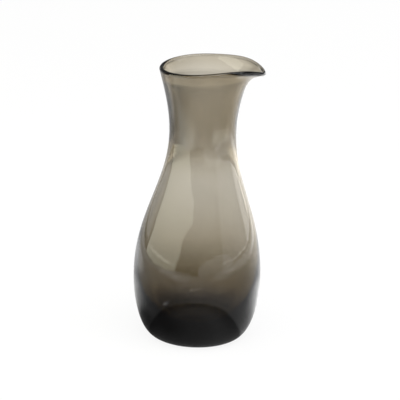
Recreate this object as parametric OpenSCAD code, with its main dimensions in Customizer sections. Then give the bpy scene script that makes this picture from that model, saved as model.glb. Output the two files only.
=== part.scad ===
// Water carafe, mouth-blown from smoked glass in one piece: a thick floor with a
// shallow hollow under it, a full belly, a drawn-in neck and a pulled pouring lip.
// Millimetres. +Z is up, the pouring lip points along +X, and the origin is the
// middle of the ring that the carafe stands on.

/* [Overall] */
// Height from the table to the top of the rim
height = 250; // [235:1:280]

/* [Foot] */
// Diameter of the ring that the carafe stands on, outside
foot_d = 73; // [60:1:84]
// Width of that ring, which is ground flat
foot_w = 2.6; // [1.5:0.1:5]
// How far the ground ring stands out under the glass
foot_h = 0.3; // [0.2:0.05:1]
// Height of the hollow in the middle of the underside
punt_h = 3.2; // [1:0.1:6]

/* [Belly] */
// Largest diameter of the belly
belly_d = 113; // [100:1:126]
// Height of the belly's largest diameter above the table
belly_z = 57; // [48:1:68]

/* [Neck] */
// Smallest diameter of the neck
waist_d = 58.8; // [50:0.2:68]
// Height of the neck's smallest diameter above the table
waist_z = 187.5; // [175:0.5:200]
// Diameter of the mouth at its sides, over the rim
mouth_d = 78; // [72:0.2:88]
// Sideways lean of the hand-blown neck, towards the lip
neck_lean = 2; // [0:0.1:4]

/* [Pouring lip] */
// How far the lip reaches out past the round of the mouth
lip_reach = 14; // [8:0.1:20]
// Height of the part of the rim that rolls outwards to the lip
lip_roll = 4; // [3.5:0.1:8]
// How far the rim dips at the lip
lip_dip = 6.7; // [3:0.1:12]
// How far the rim dips at the back, opposite the lip
back_dip = 4.5; // [0:0.1:8]
// How far the rim is pinched in on both sides of the lip
lip_pinch = 3.1; // [0:0.1:5]

/* [Glass] */
// Thickness of the floor in the middle, above the hollow
floor_t = 14; // [8:0.5:18]
// Wall at the belly's largest diameter
belly_wall = 4.2; // [3:0.1:6]
// Wall of the shoulder where it is thinnest
shoulder_wall = 1.6; // [1.4:0.1:2.8]
// Height of that thinnest place above the table
thin_z = 150; // [130:1:170]
// Wall at the smallest diameter of the neck
neck_wall = 3.6; // [2.4:0.1:4.6]
// Wall just under the rim
rim_wall = 3; // [2:0.1:3.6]
// Thickness of the fire-polished bead at the rim
bead_t = 4; // [3.6:0.1:5]

/* [Hidden] */
// Facets around the glass, closer together at the lip by this many degrees
sides = 84;
crowding = 14;
// Steps on each stretch of the outline
punt_steps = 4;
heel_steps = 8;
shoulder_steps = 10;
neck_steps = 12;
bead_steps = 6;
inside_steps = 9;
bowl_steps = 8;
// The ground ring runs this far up into the glass, and lies this far in on its seat
overrun = 0.4;
ring_inset = 0.15;

// Half-angles of the lip, of its dip and of the pinch beside it, in degrees
lip_half_angle = 38.3;
dip_half_angle = 23.7;
pinch_at_angle = 71;
pinch_half_angle = 37.8;

// How quickly the belly's wall thins out upwards
wall_power = 2.3;

// How far each curve keeps its direction, as shares of the stretch it crosses
heel_out_share = 0.575;
heel_up_share = 0.544;
waist_pull_share = 0.36;
flare_out_share = 0.5;
flare_up_share = 0.33;
floor_flat_share = 0.5;
bowl_out_share = 0.3;
bowl_up_share = 0.55;

foot_r = foot_d/2;
punt_r = foot_r - foot_w;
belly_r = belly_d/2;
waist_r = waist_d/2;
mouth_r = mouth_d/2;
bead_r = bead_t/2;
bead_blend = 2*bead_t;

// The rim's outer edge lies below the top of the bead, more where the wall flares
flare_out = flare_out_share*(mouth_r - waist_r);
flare_up = flare_up_share*(height - waist_z);
flare_angle = atan2(flare_out, flare_up);
rim_angles = [for (a = [0:2:180]) rim_dip(a)];
rim_z = height - bead_r*(1 + sin(flare_angle)) + min(rim_angles);

// Lengths of the handles where two curves meet: they bend alike on both sides
heel_out = heel_out_share*(belly_r - foot_r);
heel_up = heel_up_share*(belly_z - foot_h);
belly_pull = heel_up*sqrt((belly_r - waist_r)/(belly_r - foot_r - heel_out));
waist_pull = waist_pull_share*(waist_z - belly_z);
neck_pull = waist_pull*sqrt((mouth_r - flare_out - waist_r)/(belly_r - waist_r));

// Outline of the outside, as radius and height
heel_curve = [
    [foot_r, foot_h],
    [foot_r + heel_out, foot_h],
    [belly_r, belly_z - heel_up],
    [belly_r, belly_z]
];
shoulder_curve = [
    [belly_r, belly_z],
    [belly_r, belly_z + belly_pull],
    [waist_r, waist_z - waist_pull],
    [waist_r, waist_z]
];
neck_curve = [
    [waist_r, waist_z],
    [waist_r, waist_z + neck_pull],
    [mouth_r - flare_out, rim_z - flare_up],
    [mouth_r, rim_z]
];

// Outline of the inside, from the floor up to the belly's largest diameter, where
// it leans as the thinning wall above it does
floor_z = punt_h + floor_t;
bowl_r = belly_r - belly_wall;
floor_r = floor_flat_share*bowl_r;
bowl_up = bowl_up_share*(belly_z - floor_z);
bowl_lean = bowl_up*wall_power*(belly_wall - shoulder_wall)/(thin_z - belly_z);
bowl_curve = [
    [floor_r, floor_z],
    [floor_r + bowl_out_share*bowl_r, floor_z],
    [bowl_r - bowl_lean, belly_z - bowl_up],
    [bowl_r, belly_z]
];

function bezier(curve, t) =
    let (s = 1 - t)
    s*s*s*curve[0] + 3*s*s*t*curve[1] + 3*s*t*t*curve[2] + t*t*t*curve[3];

function ease(u) = u*u*(3 - 2*u);

function limit(u) = max(0, min(1, u));

function swell(x, width) = exp(-(x/width)*(x/width));

function unit(v) = v/norm(v);

// Angle from the lip, between 0 and 180 degrees on either side
function from_lip(a) = abs(a - 360*round(a/360));

// How far the rim lies below its level at an angle from the lip
function rim_dip(a) =
    lip_dip*swell(from_lip(a), dip_half_angle) + back_dip*pow((1 - cos(a))/2, 1.5);

// How far the rim stands out or in, at a depth below it
function rim_reach(a, up, depth) =
    lip_reach*swell(from_lip(a), lip_half_angle)*ease(up)/(1 + pow(depth/lip_roll, 2))
    - lip_pinch*swell(from_lip(a) - pinch_at_angle, pinch_half_angle)*up*up;

function lean_at(z) = neck_lean*ease(limit((z - belly_z)/(waist_z - belly_z)));

// Wall of the belly and the shoulder at a height: thin between belly and neck
function shoulder_wall_at(z) =
    shoulder_wall
    + (belly_wall - shoulder_wall)*pow(limit((thin_z - z)/(thin_z - belly_z)), wall_power)
    + (neck_wall - shoulder_wall)*ease(limit((z - thin_z)/(waist_z - thin_z)));

// Inside of the shoulder: the wall's thickness in from the outline, square to it
function inside_shoulder(t) =
    let (
        p = bezier(shoulder_curve, t),
        rise = unit(bezier(shoulder_curve, t + 0.005) - bezier(shoulder_curve, t - 0.005))
    )
    p - shoulder_wall_at(p[1])*[rise[1], -rise[0]];

// A round of the glass at one radius and height, with the neck's lean there
function plain_ring(p) =
    [for (a = angles) [p[0]*cos(a) + lean_at(p[1]), p[0]*sin(a), p[1]]];

// Outer skin of the neck and the lip, at an angle and a place along the curve
function skin(a, t) =
    let (
        p = bezier(neck_curve, t),
        up = max(0, (p[1] - waist_z)/(rim_z - waist_z)),
        r = p[0] + rim_reach(a, up, rim_z - p[1])
    )
    [r*cos(a) + neck_lean, r*sin(a), p[1] - rim_dip(a)*up*up];

function along(a, t) = unit(skin(a, t + 0.005) - skin(a, t - 0.005));

function around(a, t) = unit(skin(a + 0.5, t) - skin(a - 0.5, t));

function outward(a, t) = unit(cross(around(a, t), along(a, t)));

function wall_at(t) =
    neck_wall + (rim_wall - neck_wall)*ease(t)
    + (bead_t - rim_wall)*swell(rim_z - bezier(neck_curve, t)[1], bead_blend);

function inner_skin(a, t) = skin(a, t) - wall_at(t)*outward(a, t);

// The bead is a half round that joins both skins over the edge
function bead_point(a, turn) =
    skin(a, 1) + bead_r*((cos(turn) - 1)*outward(a, 1) + sin(turn)*along(a, 1));

angles = [
    for (i = [0:sides - 1])
        let (turn = 360*i/sides)
            turn - crowding*sin(turn)
];

// Places along the neck, closer together towards the rim
neck_places = [for (k = [1:neck_steps]) 1 - pow(1 - k/neck_steps, 1.5)];

// All rounds in order: out under the foot, up the outside, over the bead, down inside
rounds = concat(
    [
        for (k = [1:punt_steps])
            let (u = k/punt_steps)
                plain_ring([u*punt_r, foot_h + (punt_h - foot_h)*ease(1 - u)])
    ],
    [for (k = [0:heel_steps]) plain_ring(bezier(heel_curve, k/heel_steps))],
    [for (k = [1:shoulder_steps]) plain_ring(bezier(shoulder_curve, k/shoulder_steps))],
    [for (t = neck_places) [for (a = angles) skin(a, t)]],
    [for (k = [1:bead_steps]) [for (a = angles) bead_point(a, 180*k/bead_steps)]],
    [
        for (k = [neck_steps - 1:-1:1])
            [for (a = angles) inner_skin(a, neck_places[k - 1])]
    ],
    [for (k = [inside_steps:-1:1]) plain_ring(inside_shoulder(k/inside_steps))],
    [for (k = [bowl_steps:-1:0]) plain_ring(bezier(bowl_curve, k/bowl_steps))]
);
glass_points = concat([[0, 0, punt_h]], [for (one = rounds) each one], [[0, 0, floor_z]]);
last_round = len(rounds) - 1;
last_point = len(glass_points) - 1;

function at(k, i) = 1 + k*sides + i%sides;

glass_faces = concat(
    [for (i = [0:sides - 1]) [0, at(0, i), at(0, i + 1)]],
    [
        for (k = [0:last_round - 1])
            for (i = [0:sides - 1])
                each [
                    [at(k, i), at(k + 1, i), at(k + 1, i + 1)],
                    [at(k, i), at(k + 1, i + 1), at(k, i + 1)]
                ]
    ],
    [for (i = [0:sides - 1]) [at(last_round, i), last_point, at(last_round, i + 1)]]
);

// The blown glass: belly, neck and lip in one skin, inside and out
module blown_glass() {
    polyhedron(points = glass_points, faces = glass_faces, convexity = 6);
}

// The ring that was ground flat, on which the carafe stands
module ground_ring() {
    difference() {
        cylinder(h = foot_h + overrun, r = foot_r - ring_inset, $fn = sides);
        translate([0, 0, -overrun])
            cylinder(h = foot_h + 3*overrun, r = punt_r + ring_inset, $fn = sides);
    }
}

// The whole vessel is one gather of glass, open at the mouth
module glass_carafe() {
    color([0.42, 0.38, 0.33, 0.55]) union() {
        blown_glass();
        ground_ring();
    }
}

glass_carafe();
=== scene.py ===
import math

import bpy
import numpy as np
from mathutils import Matrix, Vector


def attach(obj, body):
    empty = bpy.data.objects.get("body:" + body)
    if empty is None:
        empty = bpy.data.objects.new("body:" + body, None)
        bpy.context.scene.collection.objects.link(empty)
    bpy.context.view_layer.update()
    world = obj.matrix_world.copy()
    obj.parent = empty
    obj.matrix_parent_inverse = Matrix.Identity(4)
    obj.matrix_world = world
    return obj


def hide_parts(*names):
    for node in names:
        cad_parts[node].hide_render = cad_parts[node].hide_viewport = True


# Looks for the smoked-glass water carafe: the blown glass in one piece, on a white table.
# Metres, the same frame as the CAD model: +Z up, the pouring lip points along +X.

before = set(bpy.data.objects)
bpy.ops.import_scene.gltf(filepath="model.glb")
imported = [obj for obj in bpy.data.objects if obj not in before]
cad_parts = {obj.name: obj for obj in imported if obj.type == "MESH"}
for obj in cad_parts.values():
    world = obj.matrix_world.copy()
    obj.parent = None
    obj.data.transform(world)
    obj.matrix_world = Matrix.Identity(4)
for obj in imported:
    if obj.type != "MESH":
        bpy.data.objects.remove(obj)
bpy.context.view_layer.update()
print("stage: frame loaded")

mm = 0.001


def meshObject(name, points, faces, smooth=False):
    mesh = bpy.data.meshes.new(name)
    mesh.from_pydata([tuple(p) for p in points], [], faces)
    mesh.validate()
    mesh.update()
    if smooth:
        mesh.polygons.foreach_set("use_smooth", [True] * len(mesh.polygons))
    item = bpy.data.objects.new(name, mesh)
    bpy.context.scene.collection.objects.link(item)
    return item


def newMaterial(name):
    material = bpy.data.materials.new(name)
    material.use_nodes = True
    material.node_tree.nodes.clear()
    return material, material.node_tree


def feed(tree, value, socket):
    # A number, a colour or a place is set on the socket, an output is linked to it
    if isinstance(value, (float, tuple)):
        socket.default_value = value
    else:
        tree.links.new(value, socket)


def addNode(tree, kind, inputs=None, **settings):
    node = tree.nodes.new(kind)
    for key, value in settings.items():
        setattr(node, key, value)
    for key, value in (inputs or {}).items():
        feed(tree, value, node.inputs[key])
    return node


def calculate(tree, operation, *values):
    return addNode(tree, "ShaderNodeMath", dict(enumerate(values)), operation=operation).outputs[0]


def product(tree, values):
    total = values[0]
    for value in values[1:]:
        total = calculate(tree, "MULTIPLY", total, value)
    return total


def blend(tree, share, first, second):
    # Inputs 0, 2 and 3 are the ones that a mix of numbers uses
    inputs = {0: share, 2: first, 3: second}
    return addNode(tree, "ShaderNodeMix", inputs, data_type="FLOAT").outputs[0]


def ramp(tree, value, low, high, start, end):
    # Soft step from start at the low value to end at the high one
    inputs = {
        "Value": value,
        "From Min": low,
        "From Max": high,
        "To Min": start,
        "To Max": end,
    }
    node = addNode(tree, "ShaderNodeMapRange", inputs, interpolation_type="SMOOTHSTEP")
    return node.outputs["Result"]


# The blown glass. Sizes in millimetres, angles in degrees from the lip.
glass = {
    "height": 250.0,
    "footDiameter": 73.0,
    "footWidth": 2.6,
    "footHeight": 0.3,
    "puntHeight": 3.2,
    "bellyDiameter": 113.0,
    "bellyHeight": 57.0,
    "waistDiameter": 58.8,
    "waistHeight": 187.5,
    "mouthDiameter": 78.0,
    "neckLean": 2.0,
    "lipReach": 14.0,
    "lipRoll": 4.0,
    "lipDip": 6.7,
    "backDip": 4.5,
    "lipPinch": 3.1,
    "floorThickness": 14.0,
    "bellyWall": 4.2,
    "shoulderWall": 1.6,
    "thinnestHeight": 150.0,
    "neckWall": 3.6,
    "rimWall": 3.0,
    "beadThickness": 4.0,
    "lipHalfAngle": 38.3,
    "dipHalfAngle": 23.7,
    "pinchAtAngle": 71.0,
    "pinchHalfAngle": 37.8,
    "backDipPower": 1.5,
    "wallPower": 2.3,
    "beadBlend": 2.0,  # in bead thicknesses below the rim
    # shares of the stretch that each curve crosses
    "heelOutShare": 0.575,
    "heelUpShare": 0.544,
    "waistPullShare": 0.36,
    "flareOutShare": 0.5,
    "flareUpShare": 0.33,
    "floorFlatShare": 0.5,
    "bowlOutShare": 0.3,
    "bowlUpShare": 0.55,
    # softened edges of the ring it stands on: their width, and the share of the ring's
    # height that is left halfway across them
    "ringEdge": 0.35,
    "ringEdgeShare": 0.35,
    # fineness of the mesh, and how much its rounds crowd towards the rim
    "facetsAround": 224,
    "puntRounds": 14,
    "heelRounds": 34,
    "shoulderRounds": 44,
    "neckRounds": 54,
    "beadRounds": 14,
    "bowlRounds": 40,
    "rimCrowding": 1.5,
}

# Steps over which a slope is taken: along the shoulder, along the neck, and in degrees
shoulderStep = 0.001
neckStep = 0.005
turnStep = 0.5


def bezier(curve, t):
    t = np.asarray(t, float)[..., None]
    s = 1 - t
    c = np.array(curve, float)
    return s**3 * c[0] + 3 * s * s * t * c[1] + 3 * s * t * t * c[2] + t**3 * c[3]


def ease(u):
    return u * u * (3 - 2 * u)


def swell(x, width):
    return np.exp(-((x / width) ** 2))


def unit(v):
    return v / np.linalg.norm(v, axis=-1, keepdims=True)


def shares(count):
    return np.arange(1, count + 1) / count


def fromLip(a):
    return np.abs(a - 360 * np.round(a / 360))


def rimDip(g, a):
    back = ((1 - np.cos(np.radians(a))) / 2) ** g["backDipPower"]
    return g["lipDip"] * swell(fromLip(a), g["dipHalfAngle"]) + g["backDip"] * back


def rimReach(g, a, up, depth):
    out = g["lipReach"] * swell(fromLip(a), g["lipHalfAngle"]) * ease(up)
    pinch = g["lipPinch"] * swell(fromLip(a) - g["pinchAtAngle"], g["pinchHalfAngle"])
    return out / (1 + (depth / g["lipRoll"]) ** 2) - pinch * up * up


def glassCurves(g):
    footR = g["footDiameter"] / 2
    bellyR = g["bellyDiameter"] / 2
    waistR = g["waistDiameter"] / 2
    mouthR = g["mouthDiameter"] / 2
    bellyZ = g["bellyHeight"]
    waistZ = g["waistHeight"]
    # The rim's highest place, looked for every 2 degrees, is at the carafe's full height
    flareOut = g["flareOutShare"] * (mouthR - waistR)
    flareUp = g["flareUpShare"] * (g["height"] - waistZ)
    flareAngle = math.atan2(flareOut, flareUp)
    leastDip = float(np.min(rimDip(g, np.arange(0.0, 181.0, 2.0))))
    rimZ = g["height"] - g["beadThickness"] / 2 * (1 + math.sin(flareAngle)) + leastDip
    # Handles of the curves: where two curves meet, they bend alike on both sides
    heelOut = g["heelOutShare"] * (bellyR - footR)
    heelUp = g["heelUpShare"] * (bellyZ - g["footHeight"])
    bellyPull = heelUp * math.sqrt((bellyR - waistR) / (bellyR - footR - heelOut))
    waistPull = g["waistPullShare"] * (waistZ - bellyZ)
    neckPull = waistPull * math.sqrt((mouthR - flareOut - waistR) / (bellyR - waistR))
    # The inside, which leans in at the belly as the thinning wall above it does
    floorZ = g["puntHeight"] + g["floorThickness"]
    bowlR = bellyR - g["bellyWall"]
    floorR = g["floorFlatShare"] * bowlR
    thickening = g["wallPower"] * (g["bellyWall"] - g["shoulderWall"])
    bowlUp = g["bowlUpShare"] * (bellyZ - floorZ)
    bowlLean = bowlUp * thickening / (g["thinnestHeight"] - bellyZ)
    return {
        "footR": footR,
        "puntR": footR - g["footWidth"],
        "rimZ": rimZ,
        "floorZ": floorZ,
        "heel": [
            (footR, g["footHeight"]),
            (footR + heelOut, g["footHeight"]),
            (bellyR, bellyZ - heelUp),
            (bellyR, bellyZ),
        ],
        "shoulder": [
            (bellyR, bellyZ),
            (bellyR, bellyZ + bellyPull),
            (waistR, waistZ - waistPull),
            (waistR, waistZ),
        ],
        "neck": [
            (waistR, waistZ),
            (waistR, waistZ + neckPull),
            (mouthR - flareOut, rimZ - flareUp),
            (mouthR, rimZ),
        ],
        "bowl": [
            (floorR, floorZ),
            (floorR + g["bowlOutShare"] * bowlR, floorZ),
            (bowlR - bowlLean, bellyZ - bowlUp),
            (bowlR, bellyZ),
        ],
    }


def shoulderWall(g, z):
    low, mid, high = g["bellyHeight"], g["thinnestHeight"], g["waistHeight"]
    below = np.clip((mid - z) / (mid - low), 0, None) ** g["wallPower"]
    above = ease(np.clip((z - mid) / (high - mid), 0, 1))
    thin = g["shoulderWall"]
    return thin + (g["bellyWall"] - thin) * below + (g["neckWall"] - thin) * above


def insideShoulder(g, curve, t):
    p = bezier(curve, t)
    rise = unit(bezier(curve, t + shoulderStep) - bezier(curve, t - shoulderStep))
    wall = shoulderWall(g, p[:, 1])[:, None]
    return p - wall * np.stack([rise[:, 1], -rise[:, 0]], -1)


def buildGlass(g):
    c = glassCurves(g)
    angles = np.linspace(0, 360, g["facetsAround"], endpoint=False)

    # Rounds of points at radii and heights, with the neck's lean at each height
    def ring(profile):
        profile = np.asarray(profile, float)
        r, z = profile[:, :1], profile[:, 1:]
        u = np.clip((z - g["bellyHeight"]) / (g["waistHeight"] - g["bellyHeight"]), 0, 1)
        turn = np.radians(angles)[None, :]
        x = r * np.cos(turn) + g["neckLean"] * ease(u)
        return np.stack([x, r * np.sin(turn), z + 0 * turn], -1)

    # Outside of the neck and the lip, at an angle and a place along the neck's curve
    def skin(a, t):
        a, t = np.broadcast_arrays(np.asarray(a, float), np.asarray(t, float))
        p = bezier(c["neck"], t)
        up = np.maximum(0, (p[..., 1] - g["waistHeight"]) / (c["rimZ"] - g["waistHeight"]))
        r = p[..., 0] + rimReach(g, a, up, c["rimZ"] - p[..., 1])
        turn = np.radians(a)
        x = r * np.cos(turn) + g["neckLean"]
        return np.stack([x, r * np.sin(turn), p[..., 1] - rimDip(g, a) * up * up], -1)

    def along(a, t):
        return unit(skin(a, t + neckStep) - skin(a, t - neckStep))

    def outward(a, t):
        around = unit(skin(a + turnStep, t) - skin(a - turnStep, t))
        return unit(np.cross(around, along(a, t)))

    def wall(t):
        below = c["rimZ"] - bezier(c["neck"], t)[..., 1]
        bead = g["beadThickness"] - g["rimWall"]
        thin = g["neckWall"] + (g["rimWall"] - g["neckWall"]) * ease(t)
        return thin + bead * swell(below, g["beadBlend"] * g["beadThickness"])

    # The hollow under the foot, and the ring that the carafe stands on
    punt = shares(g["puntRounds"])
    low, high = g["footHeight"], g["puntHeight"]
    under = np.stack([punt * c["puntR"], low + (high - low) * ease(1 - punt)], -1)
    edge, edgeZ = g["ringEdge"], g["ringEdgeShare"] * low
    foot = [
        (c["puntR"] + edge / 2, edgeZ),
        (c["puntR"] + edge, 0.0),
        (c["footR"] - edge, 0.0),
        (c["footR"] - edge / 2, edgeZ),
    ]

    # The neck outside and inside, joined over the rim by the half round of the bead
    a = angles[None, :]
    up = 1 - (1 - shares(g["neckRounds"])[:, None]) ** g["rimCrowding"]
    half = np.radians(180 * shares(g["beadRounds"]))[:, None, None]
    over = (np.cos(half) - 1) * outward(a, 1.0) + np.sin(half) * along(a, 1.0)
    bead = skin(a, 1.0) + g["beadThickness"] / 2 * over
    inner = skin(a, up) - wall(up)[..., None] * outward(a, up)

    # All rounds in order: out under the foot, up the outside, over the rim, down inside
    heel = np.linspace(0, 1, g["heelRounds"] + 1)
    shoulder = shares(g["shoulderRounds"])
    bowl = np.linspace(0, 1, g["bowlRounds"] + 1)
    rounds = np.concatenate(
        [
            ring(under),
            ring(foot),
            ring(bezier(c["heel"], heel)),
            ring(bezier(c["shoulder"], shoulder)),
            skin(a, up),
            bead,
            inner[-2::-1],
            ring(insideShoulder(g, c["shoulder"], shoulder))[::-1],
            ring(bezier(c["bowl"], bowl))[::-1],
        ]
    )
    n = len(angles)
    points = np.concatenate(
        [[(0, 0, g["puntHeight"])], rounds.reshape(-1, 3), [(0, 0, c["floorZ"])]]
    )
    last = len(points) - 1
    faces = [(0, 1 + (i + 1) % n, 1 + i) for i in range(n)]
    for k in range(len(rounds) - 1):
        base = 1 + k * n
        for i in range(n):
            j = (i + 1) % n
            faces.append((base + i, base + j, base + n + j, base + n + i))
    base = 1 + (len(rounds) - 1) * n
    faces += [(base + i, base + (i + 1) % n, last) for i in range(n)]
    return meshObject("blown_glass", points * mm, faces, smooth=True)


carafe = buildGlass(glass)
print("stage: glass built", len(carafe.data.vertices), "points")

# Smoked glass. The smoke is in the body of the glass, so thick places are darker.
# The blown surface is not quite true: it has broad swells, small waves and faint rings
# from the turning, and the polish is a little duller in places. Depths are in metres.
smoke = {
    "ior": 1.5,
    "smokeColour": (0.496, 0.433, 0.29, 1.0),
    "smokeDensity": 390.0,
    "swellScale": 9.0,
    "swellDepth": 0.0035,
    "swellDetail": 0.0,
    "waveScale": 38.0,
    "waveDepth": 0.0003,
    "waveDetail": 1.0,
    "ringsPerMetre": 334.225,
    "ringDepth": 0.000006,
    "ringWander": 9.0,  # how far the waves push the rings, in radians
    "smudgeScale": 24.0,
    "smudgeDetail": 3.0,
    "smudgeRange": (0.5, 0.75),
    "dullest": 0.03,  # roughness and colour where it is smudged most
    "palest": 0.97,
}


def newGroup(name, inputs, outputs):
    # Named inputs with their values, where None stands for a vector, and named outputs
    group = bpy.data.node_groups.new(name, "ShaderNodeTree")
    for side, sockets in (("INPUT", inputs), ("OUTPUT", outputs)):
        for socket, value in sockets.items():
            kind = "NodeSocketVector" if value is None else "NodeSocketFloat"
            made = group.interface.new_socket(name=socket, in_out=side, socket_type=kind)
            if value is not None:
                made.default_value = value
    return group, addNode(group, "NodeGroupInput"), addNode(group, "NodeGroupOutput")


def noise(tree, place, scale, detail):
    inputs = {"Vector": place, "Scale": scale, "Detail": detail}
    return addNode(tree, "ShaderNodeTexNoise", inputs).outputs[0]


def blownSurface(s):
    # Height of the surface in metres and a mask of smudges, from a place on the glass
    group, start, end = newGroup(
        "blown_surface",
        {
            "Place": None,
            "Swell Scale": s["swellScale"],
            "Swell Depth": s["swellDepth"],
            "Wave Scale": s["waveScale"],
            "Wave Depth": s["waveDepth"],
            "Rings per Metre": s["ringsPerMetre"],
            "Ring Depth": s["ringDepth"],
            "Ring Wander": s["ringWander"],
            "Smudge Scale": s["smudgeScale"],
        },
        {"Height": 0.0, "Smudge": 0.0},
    )
    given = start.outputs
    swells = noise(group, given["Place"], given["Swell Scale"], s["swellDetail"])
    waves = noise(group, given["Place"], given["Wave Scale"], s["waveDetail"])
    across = addNode(group, "ShaderNodeSeparateXYZ", {0: given["Place"]})
    turned = product(group, [across.outputs["Z"], given["Rings per Metre"], math.tau])
    wander = calculate(group, "MULTIPLY", waves, given["Ring Wander"])
    rings = calculate(group, "SINE", calculate(group, "ADD", turned, wander))
    height = calculate(group, "MULTIPLY", swells, given["Swell Depth"])
    for part in (
        calculate(group, "MULTIPLY", waves, given["Wave Depth"]),
        product(group, [rings, swells, given["Ring Depth"]]),
    ):
        height = calculate(group, "ADD", height, part)
    smudge = noise(group, given["Place"], given["Smudge Scale"], s["smudgeDetail"])
    group.links.new(height, end.inputs["Height"])
    group.links.new(smudge, end.inputs["Smudge"])
    return group


def smokedGlass(s):
    material, tree = newMaterial("smoked_glass")
    place = addNode(tree, "ShaderNodeTexCoord").outputs["Object"]
    surface = addNode(tree, "ShaderNodeGroup", node_tree=blownSurface(s))
    tree.links.new(place, surface.inputs["Place"])
    bump = addNode(
        tree,
        "ShaderNodeBump",
        {"Strength": 1.0, "Distance": 1.0, "Height": surface.outputs["Height"]},
    )
    smudge = surface.outputs["Smudge"]
    shader = addNode(
        tree,
        "ShaderNodeBsdfPrincipled",
        {
            "Base Color": ramp(tree, smudge, *s["smudgeRange"], 1.0, s["palest"]),
            "Roughness": ramp(tree, smudge, *s["smudgeRange"], 0.0, s["dullest"]),
            "Transmission Weight": 1.0,
            "IOR": s["ior"],
            "Normal": bump.outputs["Normal"],
        },
    )
    absorb = addNode(
        tree,
        "ShaderNodeVolumeAbsorption",
        {"Color": s["smokeColour"], "Density": s["smokeDensity"]},
    )
    addNode(
        tree,
        "ShaderNodeOutputMaterial",
        {"Surface": shader.outputs["BSDF"], "Volume": absorb.outputs["Volume"]},
    )
    return material


carafe.data.materials.append(smokedGlass(smoke))
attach(carafe, "root")
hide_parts("glass_carafe")
print("stage: smoked glass made")

# The white table. The glass shows it with two sets of painted light and dark places, one that
# its outside mirrors and one that is seen through its walls: painted shadows, glints and pools of
# light in the table's glow. In each set, the levels that hold at a place are multiplied with each
# other.
table = {
    "left": -0.68,
    "right": 2.0,
    "front": -0.69,
    "back": 1.7,
    "colour": (0.92, 0.92, 0.92, 1.0),
    "shadow": 0.12,  # share of lit paper in the plain white that the camera sees
    # as mirrored: steps of light across it, then a shadow in front of the foot with a
    # round edge and a small glint on it, and lit and dark patches around them
    "mirrored": {
        "level": 0.85,
        "across": (
            # from, to, level before and after
            (-0.5, -0.42, 1.3, 1.0),
            (-0.2, -0.12, 0.78, 1.0),
            (0.05, 0.25, 1.0, 0.8),
            (0.44, 0.56, 1.0, 2.3),
            (0.95, 1.05, 1.0, 0.5),
        ),
        "patches": (
            # middle, spread, near, far, level in the middle
            ((-0.045, -0.06), (1.2, 1.3), 0.03, 0.19, 0.3),
            ((-0.005, -0.083), (1.0, 1.0), 0.0815, 0.0885, 0.45),
            ((-0.005, -0.083), (1.0, 1.0), 0.04, 0.0815, 2.4),
            ((-0.045, -0.055), (1.0, 1.0), 0.0, 0.05, 0.45),
            ((-0.106, -0.098), (0.4, 1.0), 0.0, 0.022, 5.0),
            ((0.11, 0.06), (1.0, 1.0), 0.02, 0.08, 2.0),
            ((0.3, 0.45), (1.0, 1.0), 0.2, 0.5, 2.2),
            ((-0.11, 0.06), (1.0, 1.0), 0.02, 0.08, 1.8),
            ((-0.28, 0.2), (1.0, 1.0), 0.06, 0.17, 2.2),
            ((-0.5, -0.42), (1.0, 1.0), 0.1, 0.32, 1.8),
            ((-0.24, -0.45), (1.0, 1.0), 0.07, 0.18, 1.7),
            ((0.42, -0.42), (1.0, 1.0), 0.1, 0.25, 1.9),
            ((-0.066, 0.0), (1.0, 1.0), 0.012, 0.045, 0.35),
        ),
    },
    # as seen through: dark under the foot, then steps of light by the distance from
    # there, towards the back, from left to right, and on the left up to a line far back
    "seenThrough": {
        "level": 0.15,
        # from, to, level before and after
        "rounds": ((0.034, 0.046, 1.0, 7.3), (0.07, 0.12, 1.0, 0.7), (0.16, 0.24, 1.0, 1.3)),
        "backwards": ((0.64, 0.76, 1.0, 0.84), (0.8, 1.0, 1.0, 1.44)),
        "across": ((-0.05, 0.02, 0.9, 1.0), (0.05, 0.25, 1.0, 1.5)),
        "left": ((-0.1, -0.03, 0.52, 1.0), (-0.5, -0.38, 1.92, 1.0)),
        "leftEnd": (0.87, 0.96),
        "patches": (
            # middle, spread, near, far, level in the middle
            ((0.17, 0.33), (1.0, 1.4), 0.02, 0.09, 1.6),
            ((-0.2, 0.33), (1.0, 1.0), 0.03, 0.08, 1.6),
        ),
    },
}


def distance(tree, place, middle=(0.0, 0.0), spread=(1.0, 1.0)):
    # Distance from a middle, where a spread over 1 stretches the rounds along x or y
    inputs = {0: place, 1: (*middle, 0.0)}
    shift = addNode(tree, "ShaderNodeVectorMath", inputs, operation="SUBTRACT")
    inputs = {0: shift.outputs["Vector"], 1: (*spread, 1.0)}
    scale = addNode(tree, "ShaderNodeVectorMath", inputs, operation="DIVIDE")
    inputs = {0: scale.outputs["Vector"]}
    return addNode(tree, "ShaderNodeVectorMath", inputs, operation="LENGTH").outputs["Value"]


def steps(tree, value, rows):
    return [ramp(tree, value, *row) for row in rows]


def patches(tree, place, rows):
    return [
        ramp(tree, distance(tree, place, middle, spread), near, far, level, 1.0)
        for middle, spread, near, far, level in rows
    ]


def mirroredLevel(tree, place, x, v):
    levels = steps(tree, x, v["across"]) + patches(tree, place, v["patches"])
    return product(tree, levels + [v["level"]])


def seenThroughLevel(tree, place, x, y, v):
    levels = steps(tree, distance(tree, place), v["rounds"])
    levels += steps(tree, y, v["backwards"])
    levels += steps(tree, x, v["across"])
    left = product(tree, steps(tree, x, v["left"]))
    levels.append(blend(tree, ramp(tree, y, *v["leftEnd"], 0.0, 1.0), left, 1.0))
    levels += patches(tree, place, v["patches"])
    return product(tree, levels + [v["level"]])


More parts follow.
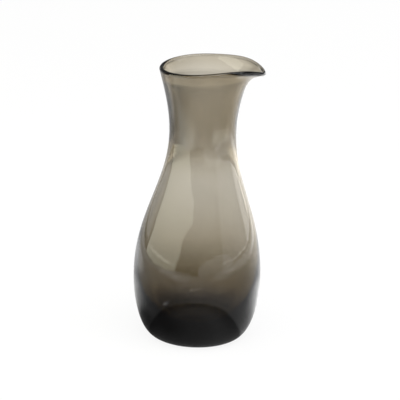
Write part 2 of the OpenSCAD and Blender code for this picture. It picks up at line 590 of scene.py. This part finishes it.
def whiteTable(v):
    material, tree = newMaterial("white_table")
    place = addNode(tree, "ShaderNodeTexCoord").outputs["Object"]
    across = addNode(tree, "ShaderNodeSeparateXYZ", {0: place})
    x, y = across.outputs["X"], across.outputs["Y"]
    ray = addNode(tree, "ShaderNodeLightPath").outputs
    paper = addNode(tree, "ShaderNodeBsdfDiffuse", {"Color": v["colour"]})
    white = addNode(tree, "ShaderNodeEmission")
    # Painted shadows, glints and pools of light: the table glows at these levels for rays from the
    # glass
    level = blend(
        tree,
        ray["Is Transmission Ray"],
        mirroredLevel(tree, place, x, v["mirrored"]),
        seenThroughLevel(tree, place, x, y, v["seenThrough"]),
    )
    light = addNode(tree, "ShaderNodeEmission", {"Strength": level})
    byGlass = calculate(tree, "MAXIMUM", ray["Is Glossy Ray"], ray["Is Transmission Ray"])
    inGlass = addNode(
        tree, "ShaderNodeMixShader", {0: byGlass, 1: paper.outputs[0], 2: light.outputs[0]}
    )
    bare = addNode(
        tree, "ShaderNodeMixShader", {0: v["shadow"], 1: white.outputs[0], 2: paper.outputs[0]}
    )
    final = addNode(
        tree,
        "ShaderNodeMixShader",
        {0: ray["Is Camera Ray"], 1: inGlass.outputs[0], 2: bare.outputs[0]},
    )
    addNode(tree, "ShaderNodeOutputMaterial", {"Surface": final.outputs[0]})
    return material


def flatCard(name, left, right, front, back):
    corners = [(left, front, 0), (right, front, 0), (right, back, 0), (left, back, 0)]
    return meshObject(name, corners, [(0, 1, 2, 3)])


def buildTable(v):
    card = flatCard("table", v["left"], v["right"], v["front"], v["back"])
    card.data.materials.append(whiteTable(v))


buildTable(table)
print("stage: table built")

# The dim room around the table: how light it is for each kind of ray
room = {
    "diffuse": 0.7,
    "mirrored": 0.15,
    "seenThrough": 0.9,
    "seenThroughDark": 0.15,
    # through the glass it is dark where a ray goes to the back and steeply up or down
    "backwards": (0.1, 0.2),
    "steep": (0.26, 0.34),
}


def buildRoom(v):
    world = bpy.data.worlds.new("room")
    bpy.context.scene.world = world
    world.use_nodes = True
    tree = world.node_tree
    tree.nodes.clear()
    way = addNode(tree, "ShaderNodeTexCoord").outputs["Generated"]
    across = addNode(tree, "ShaderNodeSeparateXYZ", {0: way})
    backwards = ramp(tree, across.outputs["Y"], *v["backwards"], 0.0, 1.0)
    slope = calculate(tree, "ABSOLUTE", across.outputs["Z"])
    steep = ramp(tree, slope, *v["steep"], 0.0, 1.0)
    dark = calculate(tree, "MULTIPLY", backwards, steep)
    seenThrough = blend(tree, dark, v["seenThrough"], v["seenThroughDark"])
    ray = addNode(tree, "ShaderNodeLightPath").outputs
    level = blend(tree, ray["Is Glossy Ray"], v["diffuse"], v["mirrored"])
    level = blend(tree, ray["Is Transmission Ray"], level, seenThrough)
    level = blend(tree, ray["Is Camera Ray"], level, 1.0)
    light = addNode(
        tree, "ShaderNodeBackground", {"Color": (1.0, 1.0, 1.0, 1.0), "Strength": level}
    )
    addNode(tree, "ShaderNodeOutputWorld", {"Surface": light.outputs[0]})


buildRoom(room)
print("stage: room built")

# A tall window on the left, whose edge towards the camera slants. Low down it is brighter
# as the glass mirrors it, and dimmer as seen through the glass.
window = {
    "x": -1.1,
    "outline": (
        # y and height of the corners
        (0.34, -0.4),
        (0.34, -0.05),
        (0.2, 0.12),
        (0.2, 1.5),
        (-4.0, 1.5),
        (-3.6, 1.3),
        (-2.5, 0.88),
        (-1.77, 0.46),
        (-1.72, 0.25),
        (-1.36, 0.04),
        (-1.3, -0.4),
    ),
    # colour, then from and to in height, level below and above
    "mirrored": ((1.0, 1.0, 0.83, 1.0), (0.35, 0.85, 2.3, 1.65)),
    "seenThrough": ((1.0, 1.0, 1.0, 1.0), (0.35, 0.85, 1.0, 1.65)),
}


def windowLight(v):
    material, tree = newMaterial("window_light")
    place = addNode(tree, "ShaderNodeTexCoord").outputs["Object"]
    height = addNode(tree, "ShaderNodeSeparateXYZ", {0: place}).outputs["Z"]
    ray = addNode(tree, "ShaderNodeLightPath").outputs
    lights = []
    for colour, levels in (v["mirrored"], v["seenThrough"]):
        inputs = {"Color": colour, "Strength": ramp(tree, height, *levels)}
        lights.append(addNode(tree, "ShaderNodeEmission", inputs).outputs[0])
    either = addNode(
        tree,
        "ShaderNodeMixShader",
        {0: ray["Is Transmission Ray"], 1: lights[0], 2: lights[1]},
    )
    addNode(tree, "ShaderNodeOutputMaterial", {"Surface": either.outputs[0]})
    return material


def buildWindow(v):
    points = [(v["x"], y, z) for y, z in v["outline"]]
    card = meshObject("window", points, [tuple(range(len(points)))])
    card.data.materials.append(windowLight(v))
    card.visible_camera = False
    card.visible_shadow = False


buildWindow(window)
print("stage: window built")

# Faint light over the table, in two sectors, that the outside of the neck mirrors. Its card
# is clear and shines upwards only, and rays through the glass don't meet it.
glow = {
    "height": 0.075,
    "colour": (1.0, 1.0, 0.85, 1.0),
    "halfSize": 0.7,
    "sectors": (
        # direction, cosine where it begins and is full, distances of its inner and outer
        # edge, level
        ((-0.85, -0.52), (0.75, 1.0), (0.215, 0.26), (0.42, 0.62), 1.7),
        ((0.9, -0.44), (0.84, 0.88), (0.28, 0.305), (0.33, 0.4), 1.3),
    ),
}


def sector(tree, place, away, row):
    direction, sides, inner, outer, level = row
    inputs = {0: place, 1: (*direction, 0.0)}
    along = addNode(tree, "ShaderNodeVectorMath", inputs, operation="DOT_PRODUCT")
    cosine = calculate(tree, "DIVIDE", along.outputs["Value"], away)
    masks = [
        ramp(tree, cosine, *sides, 0.0, 1.0),
        ramp(tree, away, *inner, 0.0, 1.0),
        ramp(tree, away, *outer, 1.0, 0.0),
    ]
    return product(tree, masks + [level])


def glowLight(v):
    material, tree = newMaterial("glow_light")
    place = addNode(tree, "ShaderNodeTexCoord").outputs["Object"]
    away = distance(tree, place)
    both = calculate(tree, "ADD", *[sector(tree, place, away, row) for row in v["sectors"]])
    backfacing = addNode(tree, "ShaderNodeNewGeometry").outputs["Backfacing"]
    level = calculate(tree, "MULTIPLY", calculate(tree, "SUBTRACT", 1.0, backfacing), both)
    light = addNode(tree, "ShaderNodeEmission", {"Color": v["colour"], "Strength": level})
    clear = addNode(tree, "ShaderNodeBsdfTransparent")
    added = addNode(tree, "ShaderNodeAddShader", {0: clear.outputs[0], 1: light.outputs[0]})
    addNode(tree, "ShaderNodeOutputMaterial", {"Surface": added.outputs[0]})
    return material


def buildGlow(v):
    half = v["halfSize"]
    card = flatCard("glow", -half, half, -half, half)
    card.location.z = v["height"]
    card.data.materials.append(glowLight(v))
    card.visible_camera = False
    card.visible_shadow = False
    card.visible_diffuse = False
    card.visible_transmission = False


buildGlow(glow)
print("stage: glow built")

# Soft lamps: low panels on the right, behind and on the left, which the glass mirrors at its
# edges, one near the table's right end, a high one, and a low round one in front. Sizes are
# width and height, spreads are in degrees.
lamps = {
    "panel_right": {
        "middle": (0.9, 1.75, 0.17),
        "target": (0.0, 1.4, 0.17),
        "size": (3.0, 0.32),
        "level": 1.3,
    },
    "panel_behind": {
        "middle": (0.88, 2.2, 0.17),
        "target": (0.0, 1.8, 0.17),
        "size": (2.6, 0.32),
        "level": 0.9,
    },
    "panel_left": {
        "middle": (-0.9, 1.45, 0.17),
        "target": (0.0, 1.0, 0.17),
        "size": (2.2, 0.32),
        "level": 0.6,
        "seenThrough": False,
    },
    "panel_near": {
        "middle": (1.5, -0.35, 0.45),
        "target": (0.0, -0.35, 0.45),
        "size": (2.4, 1.1),
        "level": 0.5,
        "spread": 120.0,
        "seenThrough": False,
    },
    "panel_top": {
        "middle": (0.5, -0.8, 1.9),
        "target": (0.0, 0.0, 0.24),
        "size": (2.4, 1.6),
        "level": 1.6,
        "spread": 150.0,
        "seenThrough": False,
    },
    "card_front": {
        "middle": (0.57, -0.86, -0.02),
        "target": (0.0, 0.0, 0.08),
        "size": (1.3, 0.34),
        "level": 0.8,
        "round": True,
    },
}


def facing(place, target):
    # Lamps and cameras look along their own -Z, so +Z points away from the target
    turn = (Vector(place) - Vector(target)).to_track_quat("Z", "Y").to_matrix().to_4x4()
    return Matrix.Translation(place) @ turn


def softLamp(name, v):
    width, height = v["size"]
    lamp = bpy.data.lights.new(name, "AREA")
    lamp.shape = "ELLIPSE" if v.get("round") else "RECTANGLE"
    lamp.size = width
    lamp.size_y = height
    # Watts that give it its level at full spread; a round one fills less of its box
    lamp.energy = v["level"] * math.pi * width * height
    if v.get("round"):
        lamp.energy *= math.pi / 4
    lamp.spread = math.radians(v.get("spread", 180.0))
    item = bpy.data.objects.new(name, lamp)
    item.matrix_world = facing(v["middle"], v["target"])
    item.visible_camera = False
    item.visible_transmission = v.get("seenThrough", True)
    bpy.context.scene.collection.objects.link(item)


for name, values in lamps.items():
    softLamp(name, values)
print("stage: lamps placed", len(lamps))

# The photograph's camera. The focal length and the frame are in the photograph's pixels.
view = {
    "place": (0.0, -1.8186, 0.74586),
    "target": (0.00094, 0.0, 0.12479),
    "roll": 1.476,
    "focalPixels": 2185.0,
    "framePixels": 400.0,
    "sensorWidth": 36.0,
    "nearest": 0.05,
    "farthest": 50.0,
}


def buildCamera(v):
    data = bpy.data.cameras.new("camera")
    data.sensor_width = v["sensorWidth"]
    data.lens = v["focalPixels"] * data.sensor_width / v["framePixels"]
    data.clip_start = v["nearest"]
    data.clip_end = v["farthest"]
    item = bpy.data.objects.new("camera", data)
    roll = Matrix.Rotation(math.radians(v["roll"]), 4, "Z")
    item.matrix_world = facing(v["place"], v["target"]) @ roll
    bpy.context.scene.collection.objects.link(item)
    bpy.context.scene.camera = item


buildCamera(view)
bpy.context.scene.view_settings.view_transform = "Standard"
print("stage: camera placed")
